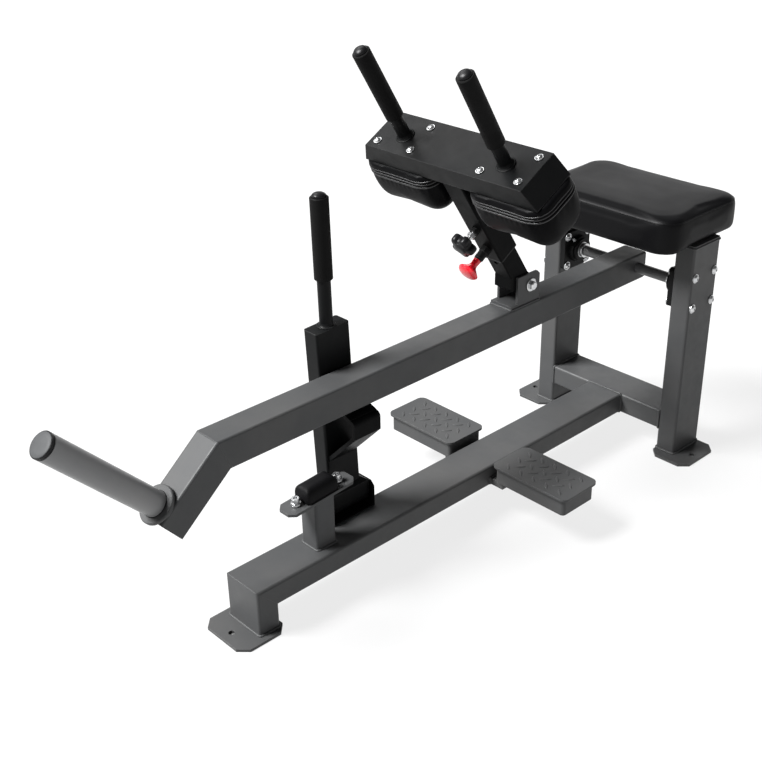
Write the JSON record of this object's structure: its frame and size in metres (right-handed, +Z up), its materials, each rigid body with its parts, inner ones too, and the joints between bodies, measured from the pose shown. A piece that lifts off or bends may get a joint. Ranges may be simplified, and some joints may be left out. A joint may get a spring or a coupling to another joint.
{
  "type": "seated calf raise machine",
  "caption": "Seated calf raise machine: pivoting lever with weight horn, height-adjustable knee pads, tread foot rests, swing-out safety catch and padded seat.",
  "frame": {"origin": "on the floor, midway between the two rear floor anchor holes", "axes": "+X across the machine to the sitter's right, +Y from the weight horn to the seat, +Z up"},
  "size_m": [0.538, 1.6916, 1.0324],
  "materials": {
    "frame_paint": "satin powder coat",
    "black_paint": "satin powder coat",
    "black_vinyl": "fine-grained vinyl",
    "black_rubber": "matt",
    "black_plastic": "matt",
    "grey_plastic": "satin",
    "zinc_steel": "bright zinc plate",
    "red_plastic": "glossy",
    "board_wood": "raw plywood"
  },
  "bodies": {
    "frame": {"base_beam": "frame_paint", "front_post": "frame_paint", "front_foot_plate": "frame_paint", "rear_cross_beam": "frame_paint", "left_leg": "frame_paint", "right_leg": "frame_paint", "left_foot_plate": "frame_paint", "right_foot_plate": "frame_paint", "left_rest_arm": "frame_paint", "right_rest_arm": "frame_paint", "left_rest_box": "frame_paint", "right_rest_box": "frame_paint", "left_tread_plate": "frame_paint", "right_tread_plate": "frame_paint", "stop_post": "frame_paint", "bumper_plate": "frame_paint", "bumper_block": "black_rubber", "bumper_bolts": "zinc_steel", "catch_bracket": "black_paint", "catch_pivot_bolt": "zinc_steel", "left_bearing_housing": "black_paint", "right_bearing_housing": "black_paint", "bearing_bolts": "zinc_steel", "left_seat_plate": "frame_paint", "right_seat_plate": "frame_paint", "seat_board": "board_wood", "seat_pad": "black_vinyl", "seat_bolts": "zinc_steel"},
    "lever": {"lever_arm": "frame_paint", "lever_nose": "frame_paint", "lever_tail_cap": "black_plastic", "horn_collar": "frame_paint", "weight_horn": "frame_paint", "horn_cap": "grey_plastic", "axle": "zinc_steel", "bearing_rings": "zinc_steel", "pad_clevis": "frame_paint", "clevis_bolt": "zinc_steel", "pad_post": "black_paint"},
    "pad_column": {"pad_sleeve": "black_paint", "sleeve_liner": "black_plastic", "pull_pin_barrel": "zinc_steel", "pad_carrier": "black_paint", "left_knee_pad": "black_vinyl", "right_knee_pad": "black_vinyl", "knee_pad_boards": "board_wood", "knee_pad_bolts": "zinc_steel", "left_handle": "black_paint", "right_handle": "black_paint", "left_handle_grip": "black_rubber", "right_handle_grip": "black_rubber", "handle_plugs": "black_plastic"},
    "plunger": {"pull_pin": "red_plastic"},
    "clamp": {"clamp_knob": "black_plastic"},
    "catch": {"catch_arm": "black_paint", "catch_hub": "black_paint", "catch_hook": "black_paint", "catch_handle": "black_paint", "catch_grip": "black_rubber", "catch_plug": "black_plastic"}
  },
  "joints": [
    {"name": "lever_pivot", "type": "hinge", "parent": "frame", "child": "lever", "pos_m": [0, 0.019, 0.422], "axis": [-1, 0, 0], "range_deg": [0, 16]},
    {"name": "pad_height", "type": "slide", "parent": "lever", "child": "pad_column", "axis": [0, -0.5446, 0.8387], "range_m": [-0.04, 0.08]},
    {"name": "pin_pull", "type": "slide", "parent": "pad_column", "child": "plunger", "axis": [0, -0.8387, -0.5446], "range_m": [0, 0.012], "stiffness_N_per_m": 600, "springref_m": -0.008},
    {"name": "clamp_turn", "type": "hinge", "parent": "pad_column", "child": "clamp", "pos_m": [0, -0.48877, 0.66744], "axis": [0, -0.8387, -0.5446], "continuous": true},
    {"name": "catch_swing", "type": "hinge", "parent": "frame", "child": "catch", "pos_m": [-0.0585, -0.851, 0.14], "axis": [0, -1, 0], "range_deg": [0, 25]}
  ]
}
